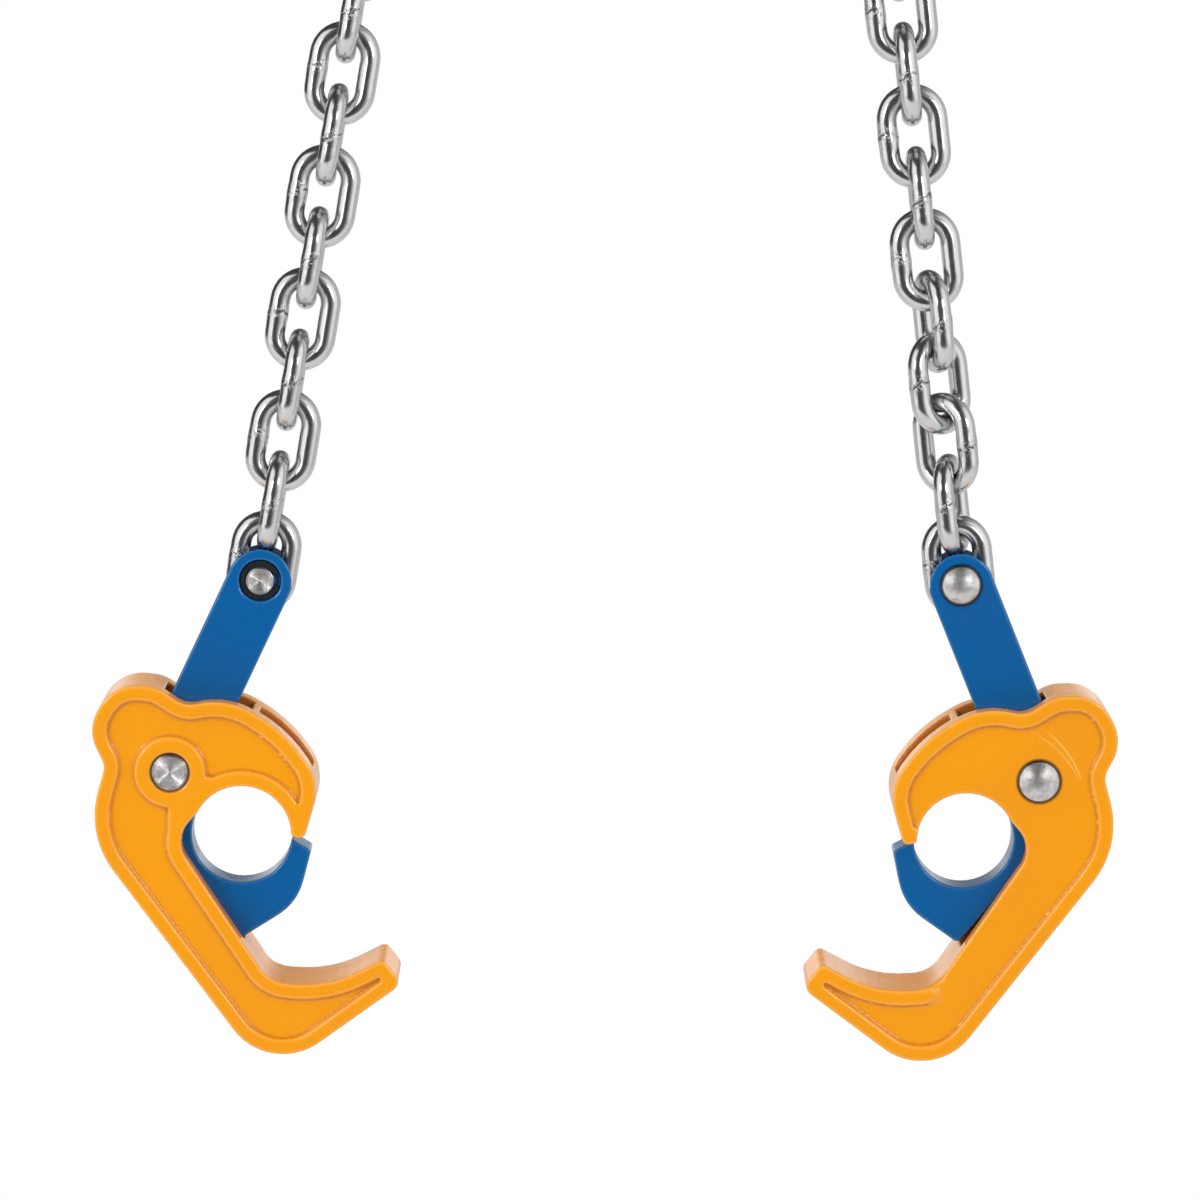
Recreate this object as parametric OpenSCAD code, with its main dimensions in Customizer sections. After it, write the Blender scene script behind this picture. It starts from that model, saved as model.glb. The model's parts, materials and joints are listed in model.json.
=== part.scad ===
// Drum lifter: a two-leg chain sling with a self-tightening rim clamp on each leg.
// Lengths are in millimetres. Z is up, X runs from the left clamp to the right one and Y goes away
// from the viewer. The origin is where the crane hook bears on the inside of the master link.

/* [Chain] */
// Diameter of the chain wire
chain_d = 6; // [5:0.25:7]
// Distance from one chain link to the next
chain_pitch = 18; // [16:0.25:21]
// Outside width of a chain link
chain_w = 20.6; // [19.5:0.1:23]
// Links in each leg, an odd number
leg_links = 29; // [23:2:35]
// Links of each leg that hang straight from the top links, counted from the top
upper_links = 13; // [9:2:15]
// Space between links that hang on each other
link_gap = 0.3; // [0.2:0.05:0.5]

/* [Master link] */
// Diameter of the master link's wire
master_d = 12; // [10:0.5:14]
// Inside width of the master link
master_in_w = 50; // [44:1:60]
// Inside length of the master link
master_in_l = 90; // [76:1:120]
// Diameter of the top links' wire
top_d = 8; // [7:0.25:9]
// Inside width of a top link
top_in_w = 15; // [14.5:0.25:18]
// Inside length of a top link
top_in_l = 30; // [28:0.5:40]

/* [Hook body] */
// Thickness of the casting
body_t = 28; // [26:0.5:34]
// Diameter of the throat that takes the drum's rim
throat_d = 28.8; // [26:0.2:31]
// Wall of the beak between the throat and the pocket along its back
beak_wall = 6; // [4.5:0.25:7]
// Width of the cored pocket along the beak's back
pocket_w = 9.6; // [7:0.2:12]
// Web between the lever's slot and the pocket
web_w = 2.4; // [1.8:0.1:3]
// Wall of the spine behind the lever slot
spine_wall = 5.5; // [4:0.25:6]
// Reach of the foot from the pivot
foot_reach = 67; // [60:0.5:76]
// Drop from the pivot to the outer corner of the heel
heel_drop = 90.8; // [86:0.2:100]
// Radius of the lobe's corners
lobe_r = 12; // [9:0.25:12.5]
// Width of the raised rim round each face
rim_w = 4.2; // [3:0.2:5]
// Depth of the panel inside the rim
panel_depth = 1.2; // [0.5:0.1:2]
// Diameter of the raised boss round the pivot
boss_d = 20.5; // [18:0.5:25]

/* [Lever] */
// Thickness of the lever
lever_t = 12.8; // [11.5:0.1:14]
// Width of the lever's arm
lever_w = 18.8; // [17:0.2:20]
// Distance from the pivot to the chain pin
lever_l = 61.2; // [54:0.2:70]
// Space on each side of the lever in its slot
slot_play = 0.3; // [0.2:0.05:0.6]
// Space on each side of the chain link in the lever's fork
fork_play = 0.5; // [0.4:0.05:0.8]
// Length of the jaw's flat tip
jaw_tip = 7.5; // [6:0.25:9]
// Space between the jaw's tip and the beak as the clamp hangs
jaw_gap = 2.6; // [2.5:0.1:4]

/* [Pins] */
// Diameter of the pivot pin
pivot_d = 10.5; // [9:0.25:12]
// Diameter of the pivot pin's head
pivot_head_d = 12.6; // [12.5:0.1:15]
// Diameter of the chain pin's head
chain_head_d = 11.8; // [10.5:0.1:14]
// Height of the domed heads
head_h = 2.4; // [1.5:0.1:4]
// Space between a chain link's inside and the chain pin, across the link
pin_play = 0.6; // [0.5:0.05:1.2]
// Radial clearance of the lever on its pivot
running = 0.05; // [0.02:0.01:0.1]
// Chamfer of the pivot's bore on the near boss
bore_mouth = 0.8; // [0.4:0.1:1.2]
// Depth of the pivot pin's plain end below the near boss
pin_sink = 0.6; // [0:0.1:1]
// Thickness of the retaining ring
ring_t = 1; // [0.8:0.1:1.3]
// Width of the retaining ring round the pin
ring_w = 1.9; // [1.5:0.1:2.2]

/* [Pose] */
// Lean of the upper chain from upright
lean_top = 12.6; // [12:0.1:16]
// Lean of the left leg's lower chain
lean_left = 9.85; // [0:0.05:14]
// Lean of the right leg's lower chain
lean_right = 5.95; // [0:0.05:14]
// Lean of the lever's arm from upright on the left clamp
lever_lean = 25.8; // [22:0.2:28]
// Turn of the right lever from the left one's lean
tilt_right = 4.3; // [-4:0.1:6]
// Turn by which the right clamp's jaw hangs further closed than the left one's
jaw_close = 2.2; // [0:0.1:2.4]
// Links over which the right leg twists a quarter turn, near the clamp and again higher up
twist_links = 5; // [5:1:8]

/* [Hidden] */
$fn = 64;
arc_step = 6;
far = 200;

SIDES = ["left", "right"];
LOOSE_LINKS = 6;

// Chain values
link_in_w = chain_w - 2 * chain_d;
link_in_l = chain_pitch + link_gap;
bend_link = leg_links - upper_links + 1;
pin_d = link_in_w - pin_play;
pin_seat = link_in_l / 2 - pin_d / 2 - link_gap;

// Master link values
master_r = master_in_w / 2;
crown = [0, 0, master_r - master_in_l];
top_at = master_r - link_gap + top_in_l / 2;
first_at = top_at + top_in_l / 2 - link_gap + link_in_l / 2;

// Lever values, in the clamp's own plane: pivot at [0, 0], mouth towards +x
arm = [sin(lever_lean), cos(lever_lean)];
arm_right = [arm[1], -arm[0]];
eye = lever_l * arm;
fork_w = chain_d + 2 * fork_play;
hub_r = pivot_d / 2 + 5.2;
eye_r = lever_w / 2;
link_reach = pin_d / 2 + link_gap + chain_d;
fork_depth = link_reach + 1.2;
ring_pocket = ring_t + 0.6;
ring_d = pin_d - 0.4 + 2 * ring_w;
pocket_d = ring_d + 0.8;
groove_d = pin_d - 0.5;

// Hook body values
slot_w = lever_t + 2 * slot_play;
throat_r = throat_d / 2;
throat = [20.6, -18.6];
jaw_mid = throat - [0.4, 0.8];
jaw_r = throat_r + 0.2;
open_angle = 8.5;
pocket_end = 42;
slot_rise = 45;
slot_run = 46.3;
slot_side = 0.6;
back_lift = 2.2;
spine_out = [[-23.5, -20], [27.8, -heel_drop]];
spine_dir = unit(spine_out[1] - spine_out[0]);
spine_in = spine_out[0] + spine_wall * [-spine_dir[1], spine_dir[0]];
tip_dir = unit([6.5, -4]);
beak_tip = throat + (throat_r + 2.2) * unit([throat_r + 2.2, -1]);
jaw_heel = [19.5, -50.6];
jaw_face = beak_tip + [0.5, -0.3] + jaw_gap * [tip_dir[1], -tip_dir[0]];
jaw_root = jaw_face - 0.35 * jaw_tip * tip_dir;
jaw_end = jaw_face + 0.65 * jaw_tip * tip_dir;

// Corners of the hook body's outline, each [x, z, corner radius], clockwise from the notch
BODY_CORNERS = [
  [-18.8, 2.1, 5.5], [-24, 12.6, lobe_r], [-16.2, 26.1, lobe_r], [-3.4, 25, lobe_r],
  [4.8, 19.4, 7.5], [17.2, 21.7, 21.5],
  [throat[0] + throat_r - 0.6, 11.2, 44], [throat[0] + throat_r + 8.8, -3.5, 15.5],
  [beak_tip[0] + 1.6, beak_tip[1] - 0.6, 2], [beak_tip[0] - 2.2, beak_tip[1] + 0.6, 1],
  [throat[0] + 4, throat[1], 0], [throat[0] - 8.9, throat[1] + 10.8, 0],
  [0.7, -19.7, 8.7], [28.1, 28.6 - heel_drop, 10.5], [44.5, 26.6 - heel_drop, 35],
  [foot_reach - 5.6, 35 - heel_drop, 1.8], [foot_reach, 27.7 - heel_drop, 3],
  [spine_out[1][0], spine_out[1][1], 18], concat(spine_out[0] - back_lift * spine_dir, 27)
];

// Corners of the lever's outline, from its rounded eye down the right edge, round the jaw and back up
LEVER_CORNERS = [
  concat(eye + eye_r * (arm + arm_right), eye_r), concat(eye_r * arm_right, 0), [10.5, -6.5, 0],
  concat(jaw_mid, 0), concat(jaw_root, 0), concat(jaw_end, 0.8),
  [jaw_end[0] - 4.2, jaw_end[1] - 15.6, 17], concat(jaw_heel, 1.5), [-8.5, -13, 10],
  [-hub_r, -1, 6], concat(-eye_r * arm_right, 0), concat(eye + eye_r * (arm - arm_right), eye_r)
];

// Corners of the slot that the lever moves in, which clears the lever swung right open
swing_arm = [sin(lever_lean + open_angle), cos(lever_lean + open_angle)];
swing_right = [swing_arm[1], -swing_arm[0]];
swing_edge = (eye_r + slot_side) * swing_right;
SLOT_CORNERS = [
  concat(slot_rise * arm - (eye_r + 2) * arm_right, 0), concat(-(eye_r + 2) * arm_right, 0),
  [-hub_r - 1.6, -4, 0], concat(spine_in + 3 * spine_dir, 4), concat(spine_in + slot_run * spine_dir, 5),
  [40, -45, 0], concat(throat, 0), [12, -5, 0],
  concat(swing_edge + hub_r * swing_arm, 0), concat(swing_edge + slot_rise * swing_arm, 0)
];

SIDE_NODES = concat(
  ["top_link", "upper_chain", "lower_chain"],
  [for (i = [LOOSE_LINKS:-1:1]) str("link_", i)],
  ["lever", "chain_pin", "pin_ring", "hook_body", "pivot_pin"]
);

function unit(v) = v / norm(v);

// Outline through corners [x, y, radius], with each corner rounded by a tangent arc
function rounded(corners) = [
  for (i = [0:len(corners) - 1])
    let (n = len(corners), c = corners[i], p = [c[0], c[1]])
    let (before = corners[(i + n - 1) % n], after = corners[(i + 1) % n])
    let (a = unit([before[0], before[1]] - p), b = unit([after[0], after[1]] - p))
    let (half = acos(max(-1, min(1, a * b))) / 2)
    each c[2] == 0 || half > 89 ? [p] : corner_arc(p, a, b, c[2], half)
];

// Points of the arc of radius r that rounds corner p between the directions a and b
function corner_arc(p, a, b, r, half) =
  let (centre = p + unit(a + b) * r / sin(half), start = p + a * r / tan(half) - centre)
  let (turn = (a[0] * b[1] - a[1] * b[0] > 0 ? -1 : 1) * (180 - 2 * half))
  let (steps = max(2, ceil(abs(turn) / arc_step)))
  [for (k = [0:steps]) let (t = turn * 0.999 * (k / steps - 0.5) + turn / 2)
    centre + [start[0] * cos(t) - start[1] * sin(t), start[0] * sin(t) + start[1] * cos(t)]];

// The legs: side is -1 on the left and 1 on the right, links count from the clamp upwards
function side_of(s) = s == "left" ? -1 : 1;
function low_lean(side) = side < 0 ? lean_left : lean_right;
function lean(side, i) = i >= bend_link ? lean_top : low_lean(side);
function down(side, angle) = [side * sin(angle), 0, -cos(angle)];
function link_at(side, i) = i >= bend_link
  ? crown + (first_at + (leg_links - i) * chain_pitch) * down(side, lean_top)
  : link_at(side, bend_link) + chain_pitch / 2 * (down(side, lean_top) + down(side, low_lean(side)))
    + (bend_link - 1 - i) * chain_pitch * down(side, low_lean(side));
function twisted(i) = max(0, min(i, twist_links)) * 90 / twist_links;
function link_turn(side, i) = 90 * (i - 1) - (side < 0 ? 0 : twisted(i - 1) + twisted(i - bend_link));
function eye_at(side) = link_at(side, 1) + pin_seat * down(side, low_lean(side));

// Oval link of round wire in the XZ plane, centred on the origin
module oval_link(d, in_w, in_l) {
  r = (in_w + d) / 2;
  straight = in_l - in_w;
  for (up = [-1, 1]) {
    translate([0, 0, up * straight / 2]) rotate([up * 90, 0, 0])
      rotate_extrude(angle = 180) translate([r, 0]) circle(d = d);
    translate([up * r, 0, -straight / 2]) cylinder(d = d, h = straight);
  }
}

module master_link() {
  color("silver") translate([0, 0, -master_in_l / 2]) oval_link(master_d, master_in_w, master_in_l);
}

module top_link(side) {
  color("silver") translate(crown + top_at * down(side, lean_top)) rotate([0, -side * lean_top, 0])
    rotate([0, 0, 90]) oval_link(top_d, top_in_w, top_in_l);
}

module chain(side, from, to) {
  color("silver") for (i = [from:to])
    translate(link_at(side, i)) rotate([0, -side * lean(side, i), 0])
      rotate([0, 0, link_turn(side, i)]) oval_link(chain_d, link_in_w, link_in_l);
}

// Puts the clamp's own plane, pivot at the origin, where the leg carries it
module hang(side) {
  translate(eye_at(side)) rotate([0, side < 0 ? 0 : tilt_right, 0]) rotate([0, 0, side < 0 ? 0 : 180])
    translate([-eye[0], 0, -eye[1]]) children();
}

// Turns the hook body round the pivot to where its lever hangs
module swing(side) {
  rotate([0, side < 0 ? 0 : jaw_close, 0]) children();
}

// Extrudes an outline of the clamp's plane to thickness t, centred on the chain's plane
module slab(t) {
  rotate([90, 0, 0]) linear_extrude(height = t, center = true) children();
}

// Cylinder across the clamp at p, from y to y + h
module across(p, d, y, h) {
  translate([p[0], y, p[1]]) rotate([-90, 0, 0]) cylinder(d = d, h = h);
}

module body_face() {
  difference() {
    polygon(rounded(BODY_CORNERS));
    translate(throat) circle(r = throat_r);
  }
}

// Cored pocket along the beak's back, from the web beside the lever's slot to near the tip
module pocket_face() {
  web = swing_edge + web_w * swing_right;
  difference() {
    polygon([throat, web, web + far * swing_arm, throat + far * [cos(pocket_end), sin(pocket_end)]]);
    translate(throat) circle(r = throat_r + beak_wall);
  }
}

// Panel of the near face, with a rim all round and the boss left standing
module near_panel() {
  difference() {
    offset(delta = -rim_w) body_face();
    circle(d = boss_d);
    polygon([[0, 0], boss_d * 0.64 * [cos(-8), sin(-8)], throat, boss_d * [cos(-92.5), sin(-92.5)]]);
  }
}

// Panel of the far face, open towards the throat and the inner edge of the shank
module far_panel() {
  offset(delta = -rim_w) polygon(rounded(BODY_CORNERS));
  intersection() {
    body_face();
    polygon([beak_tip + [-3, 5], throat + (throat_r + 9) * [cos(80), sin(80)], [-4, -4], [-6, -18],
      [14, -58], [24, -68.8], [34.3, -52.4], throat]);
  }
}

module hook_body() {
  color("orange") difference() {
    slab(body_t) body_face();
    slab(slot_w) polygon(rounded(SLOT_CORNERS));
    slab(pocket_w) pocket_face();
    across(throat, throat_d, -body_t, 2 * body_t);
    across([0, 0], pivot_d + running, -body_t, 2 * body_t);
    translate([0, -body_t / 2, 0]) rotate([-90, 0, 0])
      cylinder(d1 = pivot_d + running + 2 * bore_mouth, d2 = pivot_d + running, h = bore_mouth);
    translate([0, -body_t / 2, 0]) slab(2 * panel_depth) near_panel();
    translate([0, body_t / 2, 0]) slab(2 * panel_depth) far_panel();
  }
}

module lever_face() {
  difference() {
    polygon(rounded(LEVER_CORNERS));
    translate(jaw_mid) circle(r = jaw_r);
  }
}

module lever() {
  color("royalblue") difference() {
    slab(lever_t) lever_face();
    across([0, 0], pivot_d + 2 * running, -lever_t, 2 * lever_t);
    across(eye, pin_d + running, -lever_t, 2 * lever_t);
    across(eye, pocket_d, -lever_t / 2 - 1, ring_pocket + 1);
    translate([eye[0], 0, eye[1]]) rotate([0, lever_lean, 0]) fork_cut();
  }
}

// Slot for the end link, with a rounded relief for the link above it
module fork_cut() {
  relief_r = chain_w / 2 + 0.4;
  translate([-far / 2, -fork_w / 2, -fork_depth]) cube([far, fork_w, far]);
  rotate([90, 0, 0]) rotate_extrude(start = 15, angle = 150)
    translate([pin_seat + link_in_l / 2 - link_gap - chain_d + chain_w / 2, 0]) circle(r = relief_r);
}

// Domed rivet head on the plane z = 0, towards +z
module dome(d) {
  r = (d * d / 4 + head_h * head_h) / (2 * head_h);
  intersection() {
    translate([0, 0, head_h - r]) sphere(r = r);
    cylinder(d = d, h = head_h);
  }
}

// Turned pin end on the plane z = 0, towards +z: a chamfered land and a shallow cone
module turned_end(d) {
  rotate_extrude() polygon([[0, 0], [d / 2, 0], [d / 2, 0.2], [d / 2 - 0.6, 0.6], [0, 1.1]]);
}

// Centred pin end on the plane z = 0, towards +z: a chamfered land round a shallow dish
module dished_end(d) {
  rotate_extrude()
    polygon([[0, 0], [d / 2, 0], [d / 2, 0.5], [d / 2 - 0.4, 0.9], [d / 2 - 1, 0.9], [0, 0.3]]);
}

module pivot_pin() {
  color("gainsboro") rotate([-90, 0, 0]) {
    translate([0, 0, pin_sink - body_t / 2]) cylinder(d = pivot_d, h = body_t - panel_depth - pin_sink);
    translate([0, 0, body_t / 2 - panel_depth]) dome(pivot_head_d);
    translate([0, 0, pin_sink - body_t / 2]) rotate([180, 0, 0]) turned_end(pivot_d);
  }
}

module chain_pin() {
  color("gainsboro") translate([eye[0], 0, eye[1]]) rotate([-90, 0, 0]) {
    difference() {
      translate([0, 0, -lever_t / 2]) cylinder(d = pin_d, h = lever_t);
      translate([0, 0, ring_pocket - lever_t / 2 - ring_t - 0.05]) ring(groove_d, pin_d + 2, ring_t + 0.1);
    }
    translate([0, 0, lever_t / 2]) dome(chain_head_d);
    translate([0, 0, -lever_t / 2]) rotate([180, 0, 0]) dished_end(pin_d);
  }
}

module ring(inner_d, outer_d, h) {
  difference() {
    cylinder(d = outer_d, h = h);
    translate([0, 0, -1]) cylinder(d = inner_d, h = h + 2);
  }
}

// Open retaining ring in the pin's groove
module pin_ring() {
  color("dimgray") translate([eye[0], 0, eye[1]]) rotate([-90, 0, 0])
    translate([0, 0, ring_pocket - lever_t / 2 - ring_t]) difference() {
      ring(groove_d + 0.1, ring_d, ring_t);
      translate([0, -1.6, -1]) cube([far, 3.2, ring_t + 2]);
    }
}

module side_node(s, n) {
  side = side_of(s);
  if (n == "top_link") top_link(side);
  if (n == "upper_chain") chain(side, bend_link, leg_links);
  if (n == "lower_chain") chain(side, LOOSE_LINKS + 1, bend_link - 1);
  for (i = [1:LOOSE_LINKS]) if (n == str("link_", i)) chain(side, i, i);
  if (n == "lever") hang(side) lever();
  if (n == "chain_pin") hang(side) chain_pin();
  if (n == "pin_ring") hang(side) pin_ring();
  if (n == "hook_body") hang(side) swing(side) hook_body();
  if (n == "pivot_pin") hang(side) swing(side) pivot_pin();
}

master_link();
for (s = SIDES) for (n = SIDE_NODES) side_node(s, n);
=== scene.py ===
# %% [markdown]
# # A chain drum lifter
# Two chain legs hang from one oblong master link. Each leg ends in a clamp: a blue forked lever whose jaw
# closes against a yellow cast hook body, so that the load itself pulls the clamp tight on a drum's rim.
# The CAD model gives every piece its place and its joints. This lesson dresses that frame: it forges the
# links with their welds, rounds the castings as a foundry does, and gives each metal its finish.

# %% Load the frame
import json
from math import copysign, pi, radians

import bpy
import numpy as np
from mathutils import Matrix, Vector
from mathutils.bvhtree import BVHTree

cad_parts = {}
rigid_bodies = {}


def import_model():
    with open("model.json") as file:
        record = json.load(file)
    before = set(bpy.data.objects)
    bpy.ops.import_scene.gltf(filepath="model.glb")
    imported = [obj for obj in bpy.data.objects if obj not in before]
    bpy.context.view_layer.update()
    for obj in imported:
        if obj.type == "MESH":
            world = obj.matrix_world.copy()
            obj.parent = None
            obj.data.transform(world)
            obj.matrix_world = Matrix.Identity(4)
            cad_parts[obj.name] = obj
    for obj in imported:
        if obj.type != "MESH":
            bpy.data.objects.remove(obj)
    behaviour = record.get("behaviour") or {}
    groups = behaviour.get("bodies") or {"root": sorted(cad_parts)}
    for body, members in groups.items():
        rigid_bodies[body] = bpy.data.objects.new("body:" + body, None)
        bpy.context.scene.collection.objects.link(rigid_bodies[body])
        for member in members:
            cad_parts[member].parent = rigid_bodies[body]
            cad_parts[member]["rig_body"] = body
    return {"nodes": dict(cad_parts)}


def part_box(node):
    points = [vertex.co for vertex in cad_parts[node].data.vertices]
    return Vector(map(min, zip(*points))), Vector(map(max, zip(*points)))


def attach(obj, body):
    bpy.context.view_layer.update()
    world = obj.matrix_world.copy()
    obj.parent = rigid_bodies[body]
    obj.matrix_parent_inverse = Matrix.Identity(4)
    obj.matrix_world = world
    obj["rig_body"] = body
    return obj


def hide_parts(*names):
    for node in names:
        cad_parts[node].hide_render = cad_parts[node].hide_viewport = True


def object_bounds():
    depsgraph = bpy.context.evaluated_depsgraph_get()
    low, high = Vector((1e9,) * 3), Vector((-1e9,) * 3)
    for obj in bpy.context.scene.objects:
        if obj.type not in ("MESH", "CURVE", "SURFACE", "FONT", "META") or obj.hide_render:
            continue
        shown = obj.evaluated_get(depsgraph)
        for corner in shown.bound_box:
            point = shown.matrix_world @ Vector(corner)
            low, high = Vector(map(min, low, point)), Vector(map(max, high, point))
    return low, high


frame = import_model()
cad_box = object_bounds()
SIDES = ("left", "right")
MM = 0.001
print("CAD box in mm:", [[round(c / MM, 1) for c in corner] for corner in cad_box])

# %% [markdown]
# ## The camera
# The photograph was taken from far away with a long lens, a little above the clamps, so the two legs
# hardly converge. Its place was worked out from where the pins and links fall in the picture. A camera
# looks along its own -Z, so it is turned up from looking straight down, and the small roll comes first.

# %% Put the camera where the photographer stood
LENS, SENSOR = 176.3, 36.0
LOOK_DOWN, ROLL = 7.75, -0.37
CAMERA_AT = Vector((-12.7, -1700.0, -402.06)) * MM

camera = bpy.data.objects.new("camera", bpy.data.cameras.new("camera"))
bpy.context.scene.collection.objects.link(camera)
camera.data.lens, camera.data.sensor_width = LENS, SENSOR
turn = Matrix.Rotation(radians(90 - LOOK_DOWN), 4, "X") @ Matrix.Rotation(radians(ROLL), 4, "Z")
camera.matrix_world = Matrix.Translation(CAMERA_AT) @ turn
bpy.context.scene.camera = camera
bpy.context.scene.view_settings.view_transform = "Standard"
print("camera at", [round(c, 3) for c in CAMERA_AT])

# %% [markdown]
# ## One class for shader maths
# A material is a tree of nodes, and wiring it by hand hides the sum that it works out. This class wraps
# one output socket, so that a + b or 1 - mask adds the Math node itself. Every other kind of node comes
# from one method, which sets the node's own settings first and then fills its sockets.

# %% Sockets that can be added and multiplied
class Wire:
    def __init__(self, tree, socket):
        self.tree, self.socket = tree, socket

    @classmethod
    def node(cls, tree, kind, settings=None, inputs=None, output=0):
        made = tree.nodes.new(kind)
        for name, value in (settings or {}).items():
            setattr(made, name, value)
        for name, value in (inputs or {}).items():
            if isinstance(value, cls):
                tree.links.new(value.socket, made.inputs[name])
            else:
                made.inputs[name].default_value = value
        return cls(tree, made.outputs[output])

    def math(self, operation, first, second):
        return Wire.node(self.tree, "ShaderNodeMath", {"operation": operation}, {0: first, 1: second})

    def __add__(self, other):
        return self.math("ADD", self, other)

    def __mul__(self, other):
        return self.math("MULTIPLY", self, other)

    def __sub__(self, other):
        return self.math("SUBTRACT", self, other)

    def __rsub__(self, other):
        return self.math("SUBTRACT", other, self)

    def __abs__(self):
        return self.math("ABSOLUTE", self, 0)

    __radd__, __rmul__ = __add__, __mul__

    def larger(self, other):
        return self.math("MAXIMUM", self, other)

    def blend(self, low, high):
        """Colour that goes from low to high as this value goes from 0 to 1."""
        ends = {0: self, 6: low, 7: high}
        return Wire.node(self.tree, "ShaderNodeMix", {"data_type": "RGBA"}, ends, output=2)


def ramp(value, start, end):
    """Value 0 below start and 1 above end, with a soft step between."""
    settings = {"interpolation_type": "SMOOTHSTEP"}
    return Wire.node(value.tree, "ShaderNodeMapRange", settings, {"Value": value, 1: start, 2: end})


print("shader wires ready")

# %% [markdown]
# ## Studio
# The photograph has a pure white ground. The world is white where the camera looks, and where a shiny
# surface mirrors the paper behind the clamps. The paper is lit as high as the camera sees it and falls
# off above that. The rest of the room is dark, most of all towards the photographer: that dark is what
# draws the black streaks along polished wire, and it leaves the flat enamel its full colour. A grey wall
# on the right softens that side of the wire. For soft light the ceiling is brighter than the ground. The
# world is not sampled as a lamp, since a lamp would have to look the same to every kind of ray.

# %% White paper and a dark room
WHITE, GROUND, CEILING = (1, 1, 1, 1), (0.16, 0.16, 0.16, 1), (1.04, 1.04, 1.06, 1)
ROOM, WALL, WALL_SIDE = (0.06, 0.06, 0.063, 1), (0.66, 0.66, 0.67, 1), (0.1, 0.85)
PAPER_SIDE, PAPER_TOP, PAPER_FALL = (0.74, 0.92), (0.02, 0.25), 0.88
SOFT_RISE = (-0.4, 0.8)

world = bpy.data.worlds.new("studio")
bpy.context.scene.world = world
world.use_nodes = True
tree = world.node_tree
background = tree.nodes["Background"]
direction = Wire.node(tree, "ShaderNodeTexCoord")
across, depth, height = (
    Wire.node(tree, "ShaderNodeSeparateXYZ", None, {0: direction}, output=axis) for axis in range(3)
)
seen = Wire.node(tree, "ShaderNodeLightPath", output="Is Camera Ray")
mirrored = Wire.node(tree, "ShaderNodeLightPath", output="Is Glossy Ray")
through = Wire.node(tree, "ShaderNodeLightPath", output="Is Transmission Ray")
paper = ramp(depth, *PAPER_SIDE) * (1 - PAPER_FALL * ramp(height, *PAPER_TOP))
room = ramp(across, *WALL_SIDE).blend(ROOM, WALL)
soft = ramp(height, *SOFT_RISE).blend(GROUND, CEILING)
lit = mirrored.blend(soft, paper.blend(room, WHITE))
shown = ramp(seen + through, 0, 1).blend(lit, WHITE)
tree.links.new(shown.socket, background.inputs["Color"])
world.cycles.sampling_method = "NONE"
print("world nodes:", len(tree.nodes))

# %% [markdown]
# ## Floor
# The clamps hang, so the floor is well below them and takes only a faint, wide shadow. It is a pale plane
# that the camera sees as white, and the shadow is kept by mixing that white with the lit floor. It stops
# about a metre in front of the clamps, because a bright floor there would be mirrored in all their
# fronts.

# %% A pale floor under the clamps
FLOOR_DROP, FLOOR_SIZE, FLOOR_FRONT = 0.45, 12.0, 1.1
FLOOR_COLOUR, FLOOR_ROUGH = (0.72, 0.72, 0.72, 1), 0.9
FLOOR_WHITE, SHADOW_REACH = 0.86, 0.55

floor_z = cad_box[0][2] - FLOOR_DROP
bpy.ops.object.select_all(action="DESELECT")
bpy.ops.mesh.primitive_plane_add(size=FLOOR_SIZE, location=(0, FLOOR_SIZE / 2 - FLOOR_FRONT, floor_z))
bpy.ops.object.transform_apply()
floor = bpy.context.object
floor.name = "floor"
floor.data.materials.append(bpy.data.materials.new("floor"))
floor.data.materials[0].use_nodes = True
tree = floor.data.materials[0].node_tree
lit_floor = tree.nodes["Principled BSDF"]
lit_floor.inputs["Base Color"].default_value = FLOOR_COLOUR
lit_floor.inputs["Roughness"].default_value = FLOOR_ROUGH
white_floor = Wire.node(tree, "ShaderNodeEmission", None, {"Color": WHITE, "Strength": 1.0})
place = Wire.node(tree, "ShaderNodeTexCoord", output="Object")
middle = {0: place, 1: (0, 0, floor_z)}
away = Wire.node(tree, "ShaderNodeVectorMath", {"operation": "DISTANCE"}, middle, output="Value")
whiteness = FLOOR_WHITE + (1 - FLOOR_WHITE) * ramp(away, SHADOW_REACH, 2 * SHADOW_REACH)
share = Wire.node(tree, "ShaderNodeLightPath", output="Is Camera Ray") * whiteness
surface = Wire(tree, lit_floor.outputs[0])
mixed = Wire.node(tree, "ShaderNodeMixShader", None, {0: share, 1: surface, 2: white_floor})
tree.links.new(mixed.socket, tree.nodes["Material Output"].inputs["Surface"])
print("floor at z =", round(floor_z, 3))

# %% [markdown]
# ## Lamps
# Two tall softboxes stand left and right, between the clamps and the photographer, the left one the
# brighter. They light the fronts from both sides, draw the long white streaks down the chain, and leave
# the middle of each wire dark, as in the photograph. A small, hot lamp beside each softbox, nearer the
# photographer, draws the thin bright lines on the rounded edges of the enamel.

# %% Softboxes and hot lamps
LAMPS = {
    "left_softbox": {"at": (-1.28, -0.78, -0.12), "size": (1.4, 2.1), "power": 10.6},
    "right_softbox": {"at": (1.30, -0.74, -0.12), "size": (1.3, 2.1), "power": 4.4},
    "left_hot": {"at": (-0.95, -1.29, -0.27), "size": (0.28, 0.34), "power": 3.3},
    "right_hot": {"at": (0.79, -1.24, -0.28), "size": (0.28, 0.34), "power": 3.3},
}
AIM = Vector((0.0, 0.0, -0.62))

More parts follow.
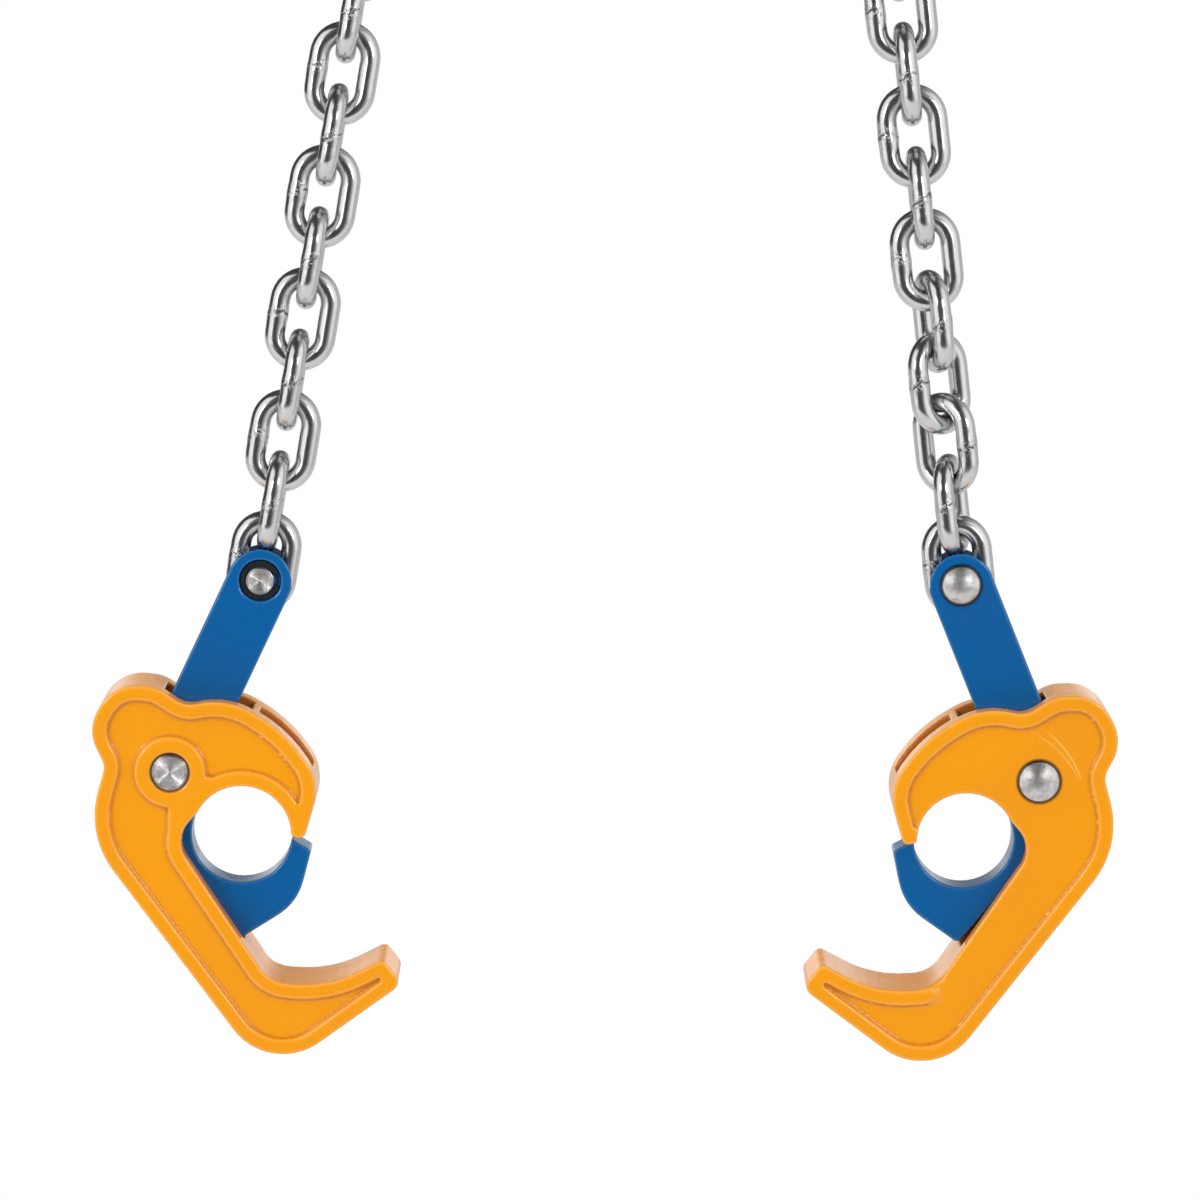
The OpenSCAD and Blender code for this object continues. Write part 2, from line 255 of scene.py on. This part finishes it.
for name, box in LAMPS.items():
    lamp = bpy.data.objects.new(name, bpy.data.lights.new(name, "AREA"))
    bpy.context.scene.collection.objects.link(lamp)
    lamp.data.shape, lamp.data.energy = "RECTANGLE", box["power"]
    lamp.data.size, lamp.data.size_y = box["size"]
    aim = (AIM - Vector(box["at"])).to_track_quat("-Z", "Y")
    lamp.matrix_world = Matrix.Translation(box["at"]) @ aim.to_matrix().to_4x4()
    lamp.visible_camera = False
print("lamps:", ", ".join(LAMPS))

# %% [markdown]
# ## Helpers for hand work
# Operators act on whatever is selected, and a freshly loaded frame leaves all its nodes selected. So one
# helper selects a single object. A second copies a CAD node and merges its loose triangles into one skin,
# which every later edit needs, and a third adds a modifier and applies it at once.

# %% Select one, copy a node, apply a modifier
MERGE = 2e-6


def only(obj):
    bpy.ops.object.select_all(action="DESELECT")
    obj.select_set(True)
    bpy.context.view_layer.objects.active = obj
    return obj


def copy_node(node, name):
    obj = bpy.data.objects.new(name, frame["nodes"][node].data.copy())
    bpy.context.scene.collection.objects.link(obj)
    obj.data.materials.clear()
    only(obj)
    bpy.ops.object.mode_set(mode="EDIT")
    bpy.ops.mesh.select_all(action="SELECT")
    bpy.ops.mesh.remove_doubles(threshold=MERGE)
    bpy.ops.object.mode_set(mode="OBJECT")
    return obj


def modify(obj, kind, **settings):
    only(obj)
    modifier = obj.modifiers.new(kind.lower(), kind)
    for name, value in settings.items():
        setattr(modifier, name, value)
    bpy.ops.object.modifier_apply(modifier=modifier.name)


def body_of(node):
    return frame["nodes"][node]["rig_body"]


print("nodes to dress:", len(frame["nodes"]))

# %% [markdown]
# ## A link's weld
# A chain link is butt-welded in the middle of one straight side, where the weld leaves a low swelling
# with a rough skin. A collar could be added there, but on the real link the swelling grows smoothly out
# of the bar. So the points round the weld are scaled up with proportional editing, which fades out along
# the bar. A point attribute then tells the material how far along the bar each point is from the seam,
# with 1 at the end of the swelling.

# %% Swell the bar round the weld
WELD_SWELL, WELD_REACH, WELD_CORE, WELD_SLANT = 1.05, 0.6, 0.25, 0.5
NO_WELD = 2.0


def pick(elements, place, test):
    """Selects the points or faces whose place passes the test."""
    for element in elements:
        element.select = test(getattr(element, place))


def swell_weld(link, wire, bend):
    """Swells the bar round the middle of the link's -X side and measures it from the seam."""
    reach = WELD_REACH * wire
    bpy.ops.mesh.select_mode(type="VERT")
    bpy.ops.mesh.select_all(action="DESELECT")
    bpy.ops.object.mode_set(mode="OBJECT")
    pick(link.data.vertices, "co", lambda at: at.x < 0 and abs(at.z) < WELD_CORE * reach)
    bpy.ops.object.mode_set(mode="EDIT")
    bpy.ops.transform.resize(
        value=(WELD_SWELL, WELD_SWELL, 1), center_override=(-bend, 0, 0), use_proportional_edit=True,
        use_proportional_connected=True, proportional_size=reach, proportional_edit_falloff="SMOOTH",
    )
    bpy.ops.object.mode_set(mode="OBJECT")
    weld = link.data.attributes.new("weld", "FLOAT", "POINT")
    for point in link.data.vertices:
        slanted = point.co.z + WELD_SLANT * point.co.y
        weld.data[point.index].value = slanted / reach if point.co.x < 0 else NO_WELD


print("a weld is", WELD_SWELL, "times as thick as the bar")

# %% [markdown]
# ## A forged link
# The link itself is a round bar bent into an oval. It could be a circle swept along a curve, but then the
# bends and the straight sides would share one spacing of points. A torus already has the two bends. It is
# split in half, the halves are pulled apart, and the gaps are bridged with the straight bars, so the bar
# keeps one clean ring of points all along. One link of about the right size is made as a trial and
# removed again.

# %% Bend, bridge and weld one link
BEND_STEPS, ROUND_STEPS, BAR_STEPS = 36, 20, 9
TRIAL_LINK = (6 * MM, 8.6 * MM, 18.3 * MM)


def bridge_side(obj, sign):
    bpy.ops.mesh.select_mode(type="EDGE")
    bpy.ops.mesh.select_all(action="DESELECT")
    bpy.ops.mesh.select_non_manifold()
    bpy.ops.object.mode_set(mode="OBJECT")
    points = obj.data.vertices
    for edge in obj.data.edges:
        edge.select = edge.select and all(points[i].co.x * sign > 0 for i in edge.vertices)
    bpy.ops.object.mode_set(mode="EDIT")
    bpy.ops.mesh.bridge_edge_loops(number_cuts=BAR_STEPS)


def forge_link(wire, inside_width, inside_length):
    bend, straight = (inside_width + wire) / 2, inside_length - inside_width
    bpy.ops.object.select_all(action="DESELECT")
    bpy.ops.mesh.primitive_torus_add(
        major_radius=bend, minor_radius=wire / 2, rotation=(pi / 2, 0, 0),
        major_segments=BEND_STEPS, minor_segments=ROUND_STEPS,
    )
    link = bpy.context.object
    bpy.ops.object.transform_apply()
    bpy.ops.object.mode_set(mode="EDIT")
    bpy.ops.mesh.select_mode(type="FACE")
    bpy.ops.mesh.select_all(action="DESELECT")
    bpy.ops.object.mode_set(mode="OBJECT")
    pick(link.data.polygons, "center", lambda at: at.z > 0)
    bpy.ops.object.mode_set(mode="EDIT")
    bpy.ops.mesh.split()
    bpy.ops.transform.translate(value=(0, 0, straight / 2))
    bpy.ops.mesh.select_all(action="INVERT")
    bpy.ops.transform.translate(value=(0, 0, -straight / 2))
    for sign in (-1, 1):
        bridge_side(link, sign)
    swell_weld(link, wire, bend)
    bpy.ops.object.shade_smooth()
    return link


trial = forge_link(*TRIAL_LINK)
trial_size = [round(c / MM, 2) for c in trial.dimensions]
print("a link has", len(trial.data.polygons), "faces and is", trial_size, "mm")
bpy.data.objects.remove(trial)

# %% [markdown]
# ## Measuring the CAD links
# The CAD frame already knows where each link hangs and how it is turned. A chain node is split into its
# loose links, and the three axes of each are found as its principal axes: the longest runs along the leg,
# the shortest through the link's flat. The middle one is pointed so that the weld comes to the front or
# to the left. Typing the places in again would be quicker, but a change in the CAD would then leave the
# links behind.

# %% Find each link's axes and sizes
WELD_AWAY = (0.5, 1, 0)


def link_place(part):
    """The turned and moved frame of one loose link, and its width, thickness and length."""
    part.data.calc_loop_triangles()
    corners = np.array([[part.data.vertices[i].co for i in t.vertices] for t in part.data.loop_triangles])
    middles = (corners + np.roll(corners, 1, axis=1)) / 2
    weights = np.repeat([t.area for t in part.data.loop_triangles], 3)
    points = middles.reshape(-1, 3)
    centre = np.average(points, axis=0, weights=weights)
    spread = np.cov((points - centre).T, aweights=weights)
    _, across, along = np.linalg.eigh(spread)[1].T
    along = along if along[2] > 0 else -along
    across = across if across @ WELD_AWAY > 0 else -across
    axes = np.array((across, np.cross(along, across), along)).T
    reach = np.abs((corners.reshape(-1, 3) - centre) @ axes).max(axis=0) * 2
    return Matrix.Translation(centre) @ Matrix(axes.tolist()).to_4x4(), reach


def link_places(node):
    """The places and sizes of all the loose links in a CAD node, from the top down."""
    copy_node(node, "measured")
    bpy.ops.object.mode_set(mode="EDIT")
    bpy.ops.mesh.separate(type="LOOSE")
    bpy.ops.object.mode_set(mode="OBJECT")
    places = []
    for part in list(bpy.context.selected_objects):
        places.append(link_place(part))
        bpy.data.objects.remove(part)
    return sorted(places, key=lambda place: -place[0].translation.z)


link_nodes = [n for n in frame["nodes"] if "link" in n or n.endswith("_chain")]
print("pieces of chain:", len(link_nodes))

# %% [markdown]
# ## Hanging the links
# One link is forged for each node and copied onto every place in it. Its bar is a touch thinner than the
# CAD one, as tumbling leaves it, so that links which are twisted against each other still clear at the
# ends of their swing.

# %% Put a forged link at each place
TUMBLED = 0.98


def hang_links(node, name):
    places = link_places(node)
    width, thick, length = places[0][1]
    wire = TUMBLED * thick
    pattern = forge_link(wire, width - 2 * wire, length - 2 * wire)
    copies = []
    for place, _ in places:
        link = bpy.data.objects.new(name, pattern.data.copy())
        bpy.context.scene.collection.objects.link(link)
        link.data.transform(place)
        copies.append(link)
    bpy.data.objects.remove(pattern)
    chain = only(copies[0])
    for link in copies[1:]:
        link.select_set(True)
    if len(copies) > 1:
        bpy.ops.object.join()
    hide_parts(node)
    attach(chain, body_of(node))
    return chain


chains = {node: hang_links(node, node + "_forged") for node in link_nodes}
print("forged", len(chains), "pieces,", sum(len(c.data.polygons) for c in chains.values()), "faces")

# %% [markdown]
# ## Where the pins are
# Later steps need each pin's middle and the radius of its head. On both clamps a pin has a domed head on
# one side and ends plainly on the other. The plain end points at the photographer on the left clamp and
# away on the right.

# %% Measure the pins
PLAIN_SIDE = {"left": -1, "right": 1}


def pin_place(node):
    """The middle of a pin and the radius of its head."""
    low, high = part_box(node)
    return (low + high) / 2, (high.x - low.x) / 2


for side in SIDES:
    print(side, "pivot head is", round(2 * pin_place(side + "_pivot_pin")[1] / MM, 1), "mm across")

# %% [markdown]
# ## Castings
# The hook bodies and levers are castings: no edge of a sand casting is sharp, and the enamel rounds it
# further. A bevel on each edge would have to fight the many small faces where the rim, the boss and the
# slot meet. A voxel remesh gives the whole skin one even grid instead, and a few smoothing passes then
# round every edge and fillet every corner by the same amount, as the paint does. On the headed face the
# panel of a hook body runs out softly where the foot begins, so that spot gets more passes. The last step
# thins the grid to a sensible count.

# %% Ways to round a casting
SMOOTHING = 0.5
RUN_OUT, RUN_OUT_REACH, RUN_OUT_PASSES = Vector((28.9, 14.0, -61.1)) * MM, 6 * MM, 60


def run_out(side):
    """The point where the panel on the headed face of a hook body ends."""
    turn = -PLAIN_SIDE[side]
    return pin_place(side + "_pivot_pin")[0] + Vector((turn * RUN_OUT.x, turn * RUN_OUT.y, RUN_OUT.z))


def soften(obj, centre):
    """More smoothing round one point, full over the inner half of a short reach and fading out beyond."""
    group = obj.vertex_groups.new(name="soft")
    for point in obj.data.vertices:
        near = 1 - (point.co - centre).length / RUN_OUT_REACH
        if near > 0:
            group.add([point.index], min(1.0, 2 * near), "REPLACE")
    modify(obj, "SMOOTH", factor=SMOOTHING, iterations=RUN_OUT_PASSES, vertex_group=group.name)
    obj.vertex_groups.clear()


def round_casting(node, name, recipe, soft_spot):
    obj = copy_node(node, name)
    modify(obj, "REMESH", mode="VOXEL", voxel_size=recipe["voxel"], use_smooth_shade=True)
    modify(obj, "SMOOTH", factor=SMOOTHING, iterations=recipe["passes"])
    if soft_spot:
        soften(obj, soft_spot)
    if recipe["keep"] < 1:
        modify(obj, "DECIMATE", decimate_type="COLLAPSE", ratio=recipe["keep"])
    bpy.ops.object.shade_smooth()
    return obj


print("panels run out at", [[round(c / MM, 1) for c in run_out(side)] for side in SIDES], "mm")

# %% [markdown]
# ## Slot and pocket
# The walls of the slot and the pocket get a painted shade in the enamel, and a duller gloss. A ray
# from each point of the skin marks where one wall of the casting faces another. It goes straight across
# the clamp, or along the normal where a wall runs across. The mark is a point attribute that the enamel
# reads. It could be painted on by hand, but the rays find the walls of both clamps by themselves.

# %% Round the castings and mark their inner walls
CASTINGS = {
    "hook_body": {"voxel": 0.42 * MM, "passes": 12, "keep": 0.62, "slot": "yellow_enamel"},
    "lever": {"voxel": 0.34 * MM, "passes": 9, "keep": 1.0, "slot": "blue_enamel"},
}
SLOT_REACH, CLEAR, SIDE_ON = 14.5 * MM, 0.2 * MM, 0.3


def mark_inside(obj):
    """A point attribute that is 1 where the skin faces another wall of the same casting across the slot."""
    walls = BVHTree.FromObject(obj, bpy.context.evaluated_depsgraph_get())
    inside = obj.data.attributes.new("inside", "FLOAT", "POINT")
    for point in obj.data.vertices:
        side_on = abs(point.normal.y) > SIDE_ON
        aim = Vector((0, copysign(1, point.normal.y), 0)) if side_on else point.normal
        hit = walls.ray_cast(point.co + aim * CLEAR, aim, SLOT_REACH)
        inside.data[point.index].value = 0.0 if hit[0] is None else 1.0


castings = {}
for side in SIDES:
    for piece, recipe in CASTINGS.items():
        node = side + "_" + piece
        soft_spot = run_out(side) if piece == "hook_body" else None
        cast = round_casting(node, node + "_cast", recipe, soft_spot)
        mark_inside(cast)
        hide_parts(node)
        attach(cast, body_of(node))
        castings[node] = cast
        print(cast.name, len(cast.data.polygons), "faces")

# %% [markdown]
# ## Helpers for finishes
# Every finish starts from a fresh material with one Principled shader. What changes over the surface is
# wired to it, and what is the same all over is set on its own sockets. Patterns lie in Object
# coordinates, which are metres here, so a noise can be given the size of its lumps.

# %% New materials, noise and bump
def new_material(name):
    material = bpy.data.materials.new(name)
    material.use_nodes = True
    return material, material.node_tree, material.node_tree.nodes["Principled BSDF"]


def object_place(tree):
    return Wire.node(tree, "ShaderNodeTexCoord", output="Object")


def point_mark(tree, name):
    return Wire.node(tree, "ShaderNodeAttribute", {"attribute_name": name}, None, output="Fac")


def noise(tree, at, size, layers, rough=0.5):
    """Noise from 0 to 1 whose lumps are about size across, with finer layers over them."""
    settings = {"Vector": at, "Scale": 1 / size, "Detail": layers, "Roughness": rough}
    return Wire.node(tree, "ShaderNodeTexNoise", None, settings)


def bump(tree, height, depth):
    """A bump whose height of 1 stands depth metres proud."""
    return Wire.node(tree, "ShaderNodeBump", None, {"Strength": 1.0, "Distance": depth, "Height": height})


def feed(shader, **wires):
    for name, wire in wires.items():
        wire.tree.links.new(wire.socket, shader.inputs[name.replace("_", " ")])


def set_values(shader, values):
    for name, value in values.items():
        shader.inputs[name].default_value = value


def coat_with(obj, material):
    obj.data.materials.clear()
    obj.data.materials.append(material)


print("finishes for", len(chains), "pieces of chain and", len(castings), "castings")

# %% [markdown]
# ## Painted shadow and highlights round the pins
# Round every pin a painted shadow darkens the paint: a ring round the pin's axis, as wide as the head on
# the headed side and narrower on the plain side. Beside the right pivot two fine arcs of painted highlight
# lighten the paint. Both are too fine for the casting's grid of points, so they aren't modelled. They are
# masks made from the distance to a line along Y.

# %% Masks for the painted pin shadows and highlight arcs
PIN_SHADOW_CORE, PIN_SHADOW_WIDTH, HEAD_OVERHANG = 0.1 * MM, 0.8 * MM, 0.75 * MM
MIDDLE = (-1 * MM, 1 * MM)
HIGHLIGHT_ARCS = [(-17.8, -10.2, 31.9, 0.8), (-16.4, -12.65, 30.8, 0.5)]
ARC_FOOT, ARC_TOP = (-1 * MM, 4 * MM), (11 * MM, 16 * MM)
ARC_CORE, ARC_WIDTH = 0.05 * MM, 0.35 * MM


def from_axis(tree, at, axis):
    """How far a place is from a line along Y through the given point."""
    flat = Wire.node(tree, "ShaderNodeVectorMath", {"operation": "MULTIPLY"}, {0: at, 1: (1, 0, 1)})
    ends = {0: flat, 1: (axis.x, 0, axis.z)}
    return Wire.node(tree, "ShaderNodeVectorMath", {"operation": "DISTANCE"}, ends, output="Value")


def plain_end(tree, at, side):
    """A mask that is 1 on the side of a clamp where its pins end plainly and 0 where they have heads."""
    depth = Wire.node(tree, "ShaderNodeSeparateXYZ", None, {0: at}, output=1)
    return ramp(PLAIN_SIDE[side] * depth, *MIDDLE)


def pin_shadow_ring(tree, at, side, pin):
    """A mask that is 1 on the circle where the pin's head or its plain end meets the paint, for a painted
    shadow.
    """
    centre, head = pin_place(side + pin)
    off = from_axis(tree, at, centre) - (head - HEAD_OVERHANG * plain_end(tree, at, side))
    return 1 - ramp(abs(off), PIN_SHADOW_CORE, PIN_SHADOW_WIDTH)


def painted_highlight_arcs(tree, at):
    """A mask of two fine arcs of painted highlight beside the right pivot, on the face with the heads."""
    pivot, _ = pin_place("right_pivot_pin")
    rise = Wire.node(tree, "ShaderNodeSeparateXYZ", None, {0: at}, output=2) - pivot.z
    shown = ramp(rise, *ARC_FOOT) * (1 - ramp(rise, *ARC_TOP)) * (1 - plain_end(tree, at, "right"))
    lines = []
    for across, up, radius, strength in HIGHLIGHT_ARCS:
        off = from_axis(tree, at, pivot + Vector((across, 0, up)) * MM) - radius * MM
        lines.append(strength * (1 - ramp(abs(off), ARC_CORE, ARC_WIDTH)))
    return shown * (lines[0] + lines[1])


print("scuffs beside the right pivot:", len(HIGHLIGHT_ARCS))

# %% [markdown]
# ## Enamel
# The clamps are painted with a thick gloss enamel over a cast skin. The colour hardly changes over the
# surface, but the paint lies unevenly: a wide, low waviness from the casting under it and an orange peel
# from spraying. Both go into one bump, and a slow noise varies the colour and the gloss a little. A
# painted shade darkens the colour in the hollow corners along the rim, and a painted highlight lightens
# it on the edges, which the pointiness of the mesh tells. Inside the slot the colour has the same
# painted shade, and the paint is dull. A clear coat gives the shine.

# %% Yellow and blue enamel
SHADE_SIZE, SHADE_RANGE = 40 * MM, (0.35, 0.75)
PEEL_SIZE, PEEL_SHARE, PAINT_DEPTH = 1.1 * MM, 0.22, 0.16 * MM
CORNER_SHADE, CORNER_BEND = 0.85, (0.47, 0.496)
EDGE_HIGHLIGHT, EDGE_BEND, PIN_SHADOW_STRENGTH = 0.2, (0.504, 0.53), 0.8
PAINT_ROUGH, SHADE_ROUGH, INSIDE_ROUGH = 0.2, 0.1, 0.3
CLEAR_COAT = {"Coat Weight": 0.3, "Coat Roughness": 0.08, "Specular IOR Level": 0.4}
YELLOW = {
    "full": (0.875, 0.330, 0.005, 1), "thin": (0.84, 0.308, 0.004, 1), "dark": (0.10, 0.03, 0.002, 1),
    "edge": (1.0, 0.56, 0.14, 1), "recess_shade": (0.50, 0.138, 0.001, 1),
}
BLUE = {
    "full": (0.001, 0.106, 0.328, 1), "thin": (0.001, 0.097, 0.302, 1), "dark": (0.0, 0.010, 0.03, 1),
    "edge": (0.03, 0.20, 0.46, 1), "recess_shade": (0.0, 0.05, 0.17, 1),
}
YELLOW_WAVE, BLUE_WAVE = 9 * MM, 6 * MM


def enamel(name, colours, wave_size, pin):
    material, tree, shader = new_material(name)
    at, inside = object_place(tree), point_mark(tree, "inside")
    wave, peel = noise(tree, at, wave_size, layers=3.0), noise(tree, at, PEEL_SIZE, layers=1.0)
    shade = ramp(noise(tree, at, SHADE_SIZE, layers=3.0), *SHADE_RANGE)
    bend = Wire.node(tree, "ShaderNodeNewGeometry", output="Pointiness")
    painted_corner_shade = CORNER_SHADE * (1 - ramp(bend, *CORNER_BEND))
    # Painted highlight: lighter colour on convex edges and on two arcs beside the right pivot.
    painted_edge_highlight = EDGE_HIGHLIGHT * ramp(bend, *EDGE_BEND) + painted_highlight_arcs(tree, at)
    # Painted shadow: a dark ring round each pin where it meets the paint.
    painted_pin_shadow = PIN_SHADOW_STRENGTH * (pin_shadow_ring(tree, at, "left", pin) + pin_shadow_ring(tree, at, "right", pin))
    paint = painted_edge_highlight.blend(shade.blend(colours["full"], colours["thin"]), colours["edge"])
    # Painted shade: darker colour in hollow corners and on the walls inside the slot.
    paint = painted_corner_shade.larger(inside).blend(paint, colours["recess_shade"])
    feed(
        shader,
        Base_Color=painted_pin_shadow.blend(paint, colours["dark"]),
        Roughness=PAINT_ROUGH + SHADE_ROUGH * shade + INSIDE_ROUGH * inside,
        Normal=bump(tree, wave + PEEL_SHARE * peel, PAINT_DEPTH),
    )
    set_values(shader, CLEAR_COAT)
    return material


yellow = enamel("yellow_enamel", YELLOW, YELLOW_WAVE, "_pivot_pin")
blue = enamel("blue_enamel", BLUE, BLUE_WAVE, "_chain_pin")
for node, cast in castings.items():
    coat_with(cast, yellow if node.endswith("hook_body") else blue)
print("enamelled", len(castings), "castings")

# %% [markdown]
# ## Chain steel
# The links are bright, tumbled steel, almost a mirror but with a slightly uneven skin. The butt weld
# leaves a ragged dark seam across the bar, closed up in places, and a rough patch on each side of it.
# Both follow the weld attribute: a little noise is added to it, so that the seam wanders, and the patch
# fades towards the swelling's ends. A picture wrapped round the bar would repeat on every link. Noise in
# Object coordinates differs from link to link.

# %% Bright steel with rough welds
SKIN_SIZE, CRUST_SIZE, CRUST_GRAIN = 2.4 * MM, 0.8 * MM, 0.65
WANDER, WANDER_SIZE, NOISE_MEAN = 1.1, 2.2 * MM, 0.5
GAPE_SIZE, GAPE_RANGE = 3.4 * MM, (0.42, 0.58)
SEAM_EDGE, SEAM_CRUST = (0.03, 0.2), (0.3, 0.5)
PATCH_EDGE, PATCH_CRUST, PATCH_DARK = (0.25, 0.9), (0.5, 0.68), 0.5
BRIGHT, BURNT = (0.64, 0.64, 0.64, 1), (0.10, 0.097, 0.095, 1)
BAR_ROUGH, SKIN_ROUGH, WELD_ROUGH = 0.15, 0.12, 0.3
SKIN_HIGH, PATCH_HIGH, SEAM_DEEP, BAR_DEPTH = 0.1, 0.35, 0.5, 0.22 * MM


def chain_steel():
    material, tree, shader = new_material("chain_steel")
    at, along = object_place(tree), point_mark(tree, "weld")
    skin = noise(tree, at, SKIN_SIZE, layers=3.0)
    crust = noise(tree, at, CRUST_SIZE, layers=4.0, rough=CRUST_GRAIN)
    wander = along + WANDER * (noise(tree, at, WANDER_SIZE, layers=2.0) - NOISE_MEAN)
    gaping = ramp(noise(tree, at, GAPE_SIZE, layers=1.0), *GAPE_RANGE)
    seam = gaping * (1 - ramp(abs(wander), *SEAM_EDGE))
    patch = (1 - ramp(abs(along), *PATCH_EDGE)) * ramp(crust, *PATCH_CRUST)
    spoiled = (seam * ramp(crust, *SEAM_CRUST)).larger(PATCH_DARK * patch)
    height = SKIN_HIGH * skin + PATCH_HIGH * (patch * crust) - SEAM_DEEP * seam
    feed(
        shader,
        Base_Color=spoiled.blend(BRIGHT, BURNT),
        Roughness=BAR_ROUGH + SKIN_ROUGH * skin + WELD_ROUGH * spoiled,
        Normal=bump(tree, height, BAR_DEPTH),
    )
    set_values(shader, {"Metallic": 1.0})
    return material


steel = chain_steel()
for chain in chains.values():
    coat_with(chain, steel)
print("steel on", len(chains), "pieces")

# %% [markdown]
# ## Pins
# The pins were turned on a lathe. On the plain end the tool left fine rings round the axis, and these
# make light spread into two bright fans, as in the photograph. An anisotropic shader draws such fans too,
# but grooves in the bump also show from close up. The domed head is stained and lightly dented, and a
# painted shadow darkens its foot, where it meets the paint. The ring pattern has to be centred on each
# pin, so every pin gets its own copy of the material with the pin's own centre.

# %% Turned steel
RING_SPACING, WAVE_PERIOD = 0.34 * MM, pi / 10
RING_WOBBLE = {"Distortion": 0.4, "Detail": 1.0, "Detail Scale": 2.0}
STAIN_SIZE, STAIN_GRAIN, STAIN_RANGE = 2.2 * MM, 0.6, (0.35, 0.7)
CLEAN, STAINED, HEAD_FOOT_SHADOW = (0.70, 0.69, 0.675, 1), (0.46, 0.45, 0.435, 1), (0.04, 0.022, 0.012, 1)
FOOT_DARK, FOOT_FROM, FOOT_TO = 0.9, 0.75 * MM, 0.35 * MM
HEAD_ROUGH, STAIN_ROUGH, PLAIN_SMOOTH = 0.36, 0.12, 0.2
HEAD_DENTS, PLAIN_CALM, PIN_DEPTH = 2.2, 1.9, 0.06 * MM
PINS = ("_pivot_pin", "_chain_pin")


def turned_steel(side, pin):
    centre, head = pin_place(side + pin)
    material, tree, shader = new_material(side + pin + "_turned")
    place = object_place(tree)
    at = Wire.node(tree, "ShaderNodeMapping", None, {"Vector": place, "Location": -centre})
    rings = Wire.node(
        tree, "ShaderNodeTexWave", {"wave_type": "RINGS", "rings_direction": "Y"},
        {"Vector": at, "Scale": WAVE_PERIOD / RING_SPACING, **RING_WOBBLE}, output=1,
    )
    plain = plain_end(tree, at, side)
    stain = noise(tree, place, STAIN_SIZE, layers=4.0, rough=STAIN_GRAIN)
    edge = ramp(from_axis(tree, place, centre), head - FOOT_FROM, head - FOOT_TO)
    metal = ramp(stain, *STAIN_RANGE).blend(CLEAN, STAINED)
    feed(
        shader,
        # Painted shadow: the foot of the domed head darkens towards the paint.
        Base_Color=(FOOT_DARK * (1 - plain) * edge).blend(metal, HEAD_FOOT_SHADOW),
        Roughness=HEAD_ROUGH + STAIN_ROUGH * stain - PLAIN_SMOOTH * plain,
        Normal=bump(tree, rings * plain + (HEAD_DENTS - PLAIN_CALM * plain) * stain, PIN_DEPTH),
    )
    set_values(shader, {"Metallic": 1.0})
    return material


for side in SIDES:
    for pin in PINS:
        coat_with(frame["nodes"][side + pin], turned_steel(side, pin))
print("turned pins:", len(PINS) * len(SIDES))

# %% [markdown]
# ## Retaining rings
# An open ring of dark spring steel sits in a groove of each chain pin. The CAD shape is fine enough to be
# kept. One flat black would look like plastic, so the oiled skin gets a fine grain in colour, gloss and
# relief.

# %% Dark spring steel
GRAIN_SIZE, GRAIN_DEPTH = 1.2 * MM, 0.02 * MM
OILED, WORN = (0.018, 0.018, 0.02, 1), (0.05, 0.05, 0.055, 1)
OILED_ROUGH, GRAIN_ROUGH, OILED_METAL = 0.32, 0.2, 0.7


def dark_ring():
    material, tree, shader = new_material("ring_steel")
    grain = noise(tree, object_place(tree), GRAIN_SIZE, layers=3.0)
    feed(
        shader,
        Base_Color=grain.blend(OILED, WORN),
        Roughness=OILED_ROUGH + GRAIN_ROUGH * grain,
        Normal=bump(tree, grain, GRAIN_DEPTH),
    )
    set_values(shader, {"Metallic": OILED_METAL})
    return material


ring_steel = dark_ring()
for side in SIDES:
    coat_with(frame["nodes"][side + "_pin_ring"], ring_steel)
print("dark rings:", len(SIDES))
